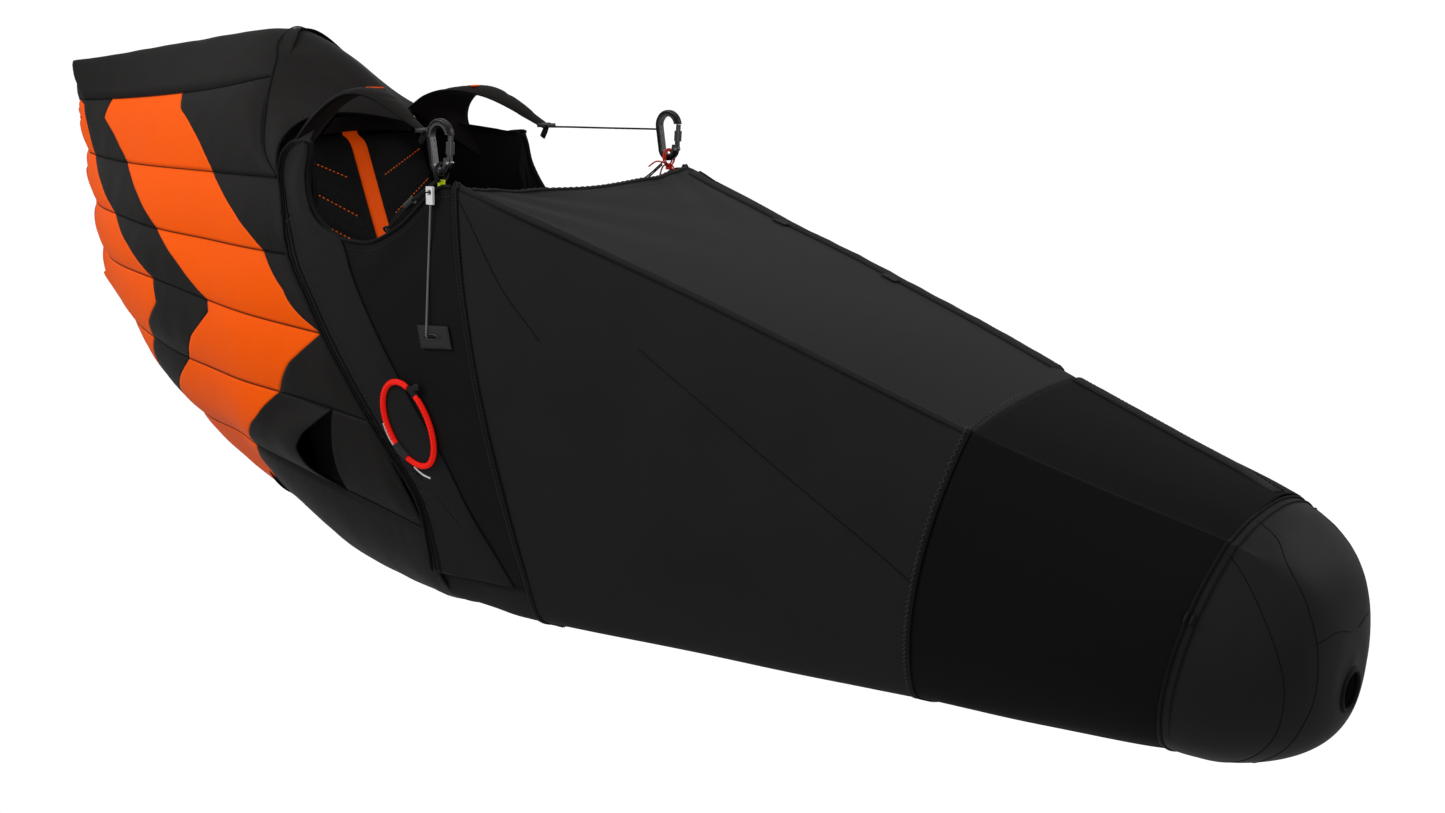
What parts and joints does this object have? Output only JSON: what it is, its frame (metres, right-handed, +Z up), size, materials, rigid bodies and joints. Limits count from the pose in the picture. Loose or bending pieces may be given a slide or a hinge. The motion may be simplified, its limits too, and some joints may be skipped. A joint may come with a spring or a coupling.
{
  "type": "paragliding pod harness",
  "caption": "Paragliding pod harness: padded seat and back inside a closed leg pod, inflatable rear fairing, hip carabiners, speed system and a side reserve handle.",
  "frame": {"origin": "midway between the two hang loops, level with the bottom of the main carabiners", "axes": "+X towards the feet and the nose of the pod, +Y to the pilot's left, +Z up in flight"},
  "size_m": [2.3179, 0.5442, 0.857],
  "materials": {
    "fairing_orange": "satin",
    "fairing_black": "satin",
    "panel_charcoal": "matte",
    "panel_black": "matte",
    "pod_fabric": "matte",
    "sleeve_fabric": "matte",
    "zip_black": "matte",
    "pad_fabric": "matte",
    "strip_orange": "matte",
    "foam": "matte",
    "webbing": "satin",
    "reserve_cloth": "satin",
    "cord_black": "matte",
    "cord_grey": "matte",
    "loop_lime": "matte",
    "loop_red": "matte",
    "handle_red": "satin",
    "anodised_black": "satin",
    "gate_metal": "satin",
    "steel": "satin",
    "plastic_white": "gloss",
    "sheave_plastic": "satin",
    "footplate_board": "satin"
  },
  "bodies": {
    "harness": {"back_pad": "pad_fabric", "chest_buckle": "zip_black", "chest_strap": "webbing", "cord_locks": "zip_black", "fairing_front_panel": "fairing_black", "fairing_ribs": "fairing_black", "fairing_skin": "fairing_orange", "fairing_top_band": "fairing_black", "intake_scoops": "fairing_black", "left_collar_panel": "panel_charcoal", "left_hang_loop": "loop_red", "left_shoulder_strap": "pad_fabric", "left_side_panel": "panel_black", "left_speed_line": "cord_grey", "line_patches": "panel_black", "main_webbing": "webbing", "neck_pad": "pad_fabric", "pod_zip_strip": "zip_black", "pulley_axles": "steel", "pulley_blocks": "zip_black", "reserve_bridle": "webbing", "reserve_container": "panel_black", "reserve_pack": "reserve_cloth", "right_collar_panel": "panel_charcoal", "right_hang_loop": "loop_lime", "right_shoulder_strap": "pad_fabric", "right_side_panel": "panel_black", "right_speed_line": "cord_grey", "seat_pad": "pad_fabric", "seat_protector": "foam", "seat_shell": "panel_black", "spine_strip": "strip_orange", "sternum_clips": "zip_black", "sternum_cords": "cord_black", "trim_cords": "cord_black", "under_panel": "panel_charcoal"},
    "pod": {"pod_deck": "panel_charcoal", "pod_hull": "pod_fabric", "pod_sleeve": "sleeve_fabric", "nose_cap": "pod_fabric", "nose_vent_rim": "zip_black", "footplate_hangers": "zip_black", "closure_tabs": "zip_black"},
    "footplate": {"footplate": "footplate_board"},
    "zip_slider": {"zip_slider": "zip_black"},
    "speed_bar": {"speed_bar": "gate_metal"},
    "right_line_hook": {"right_line_hook": "plastic_white"},
    "left_line_hook": {"left_line_hook": "plastic_white"},
    "right_sheave": {"right_sheave": "sheave_plastic"},
    "left_sheave": {"left_sheave": "sheave_plastic"},
    "right_carabiner": {"right_carabiner": "anodised_black", "right_gate_pin": "steel"},
    "left_carabiner": {"left_carabiner": "anodised_black", "left_gate_pin": "steel"},
    "right_gate": {"right_gate": "gate_metal"},
    "left_gate": {"left_gate": "gate_metal"},
    "right_gate_sleeve": {"right_gate_sleeve": "anodised_black"},
    "left_gate_sleeve": {"left_gate_sleeve": "anodised_black"},
    "reserve_handle": {"reserve_handle": "handle_red", "closing_pins": "steel"}
  },
  "joints": [
    {"name": "pod_tilt", "type": "hinge", "parent": "harness", "child": "pod", "pos_m": [0.055, 0, -0.66], "axis": [0, 1, 0], "range_deg": [0, 15], "stiffness_Nm_per_rad": 45, "springref_deg": -20.05},
    {"name": "footplate_tilt", "type": "hinge", "parent": "pod", "child": "footplate", "pos_m": [0.975, 0, -0.49], "axis": [0, 1, 0], "range_deg": [-15, 15]},
    {"name": "zip_slide", "type": "slide", "parent": "pod", "child": "zip_slider", "axis": [-0.9338, 0.1997, 0.2968], "range_m": [0, 0.8]},
    {"name": "speed_bar_push", "type": "slide", "parent": "pod", "child": "speed_bar", "axis": [1, 0, 0], "range_m": [0, 0.15], "stiffness_N_per_m": 30, "springref_m": -0.15, "deforming": ["right_speed_line", "left_speed_line"]},
    {"name": "right_hook_drop", "type": "slide", "parent": "harness", "child": "right_line_hook", "axis": [0, -0.089, -0.996], "range_m": [0, 0.15]},
    {"name": "right_sheave_spin", "type": "hinge", "parent": "harness", "child": "right_sheave", "pos_m": [0.0087, -0.21, -0.43], "axis": [0, -1, 0], "range_deg": [0, 630]},
    {"name": "right_carabiner_swing", "type": "hinge", "parent": "harness", "child": "right_carabiner", "pos_m": [0, -0.24, 0.0045], "axis": [1, 0, 0], "range_deg": [-10, 70]},
    {"name": "right_gate_open", "type": "hinge", "parent": "right_carabiner", "child": "right_gate", "pos_m": [0.0165, -0.24, 0.018], "axis": [0, -1, 0], "range_deg": [0, 22], "stiffness_Nm_per_rad": 0.05, "springref_deg": -22.92},
    {"name": "right_sleeve_twist", "type": "hinge", "parent": "right_gate", "child": "right_gate_sleeve", "pos_m": [0.0165, -0.24, 0.018], "axis": [0.0728, 0, 0.9973], "range_deg": [0, 90]},
    {"name": "left_hook_drop", "type": "slide", "parent": "harness", "child": "left_line_hook", "axis": [0, 0.089, -0.996], "range_m": [0, 0.15]},
    {"name": "left_sheave_spin", "type": "hinge", "parent": "harness", "child": "left_sheave", "pos_m": [0.0087, 0.21, -0.43], "axis": [0, -1, 0], "range_deg": [0, 630]},
    {"name": "left_carabiner_swing", "type": "hinge", "parent": "harness", "child": "left_carabiner", "pos_m": [0, 0.24, 0.0045], "axis": [-1, 0, 0], "range_deg": [-10, 70]},
    {"name": "left_gate_open", "type": "hinge", "parent": "left_carabiner", "child": "left_gate", "pos_m": [0.0165, 0.24, 0.018], "axis": [0, -1, 0], "range_deg": [0, 22], "stiffness_Nm_per_rad": 0.05, "springref_deg": -22.92},
    {"name": "left_sleeve_twist", "type": "hinge", "parent": "left_gate", "child": "left_gate_sleeve", "pos_m": [0.0165, 0.24, 0.018], "axis": [0.0728, 0, 0.9973], "range_deg": [0, 90]},
    {"name": "reserve_pull", "type": "slide", "parent": "harness", "child": "reserve_handle", "axis": [0, -1, 0], "range_m": [0, 0.12]}
  ],
  "couplings": [
    {"joint": "right_hook_drop", "follows": "speed_bar_push", "ratio": 1},
    {"joint": "right_sheave_spin", "follows": "speed_bar_push", "rad_per_m": 72.993},
    {"joint": "left_hook_drop", "follows": "speed_bar_push", "ratio": 1},
    {"joint": "left_sheave_spin", "follows": "speed_bar_push", "rad_per_m": 72.993}
  ]
}
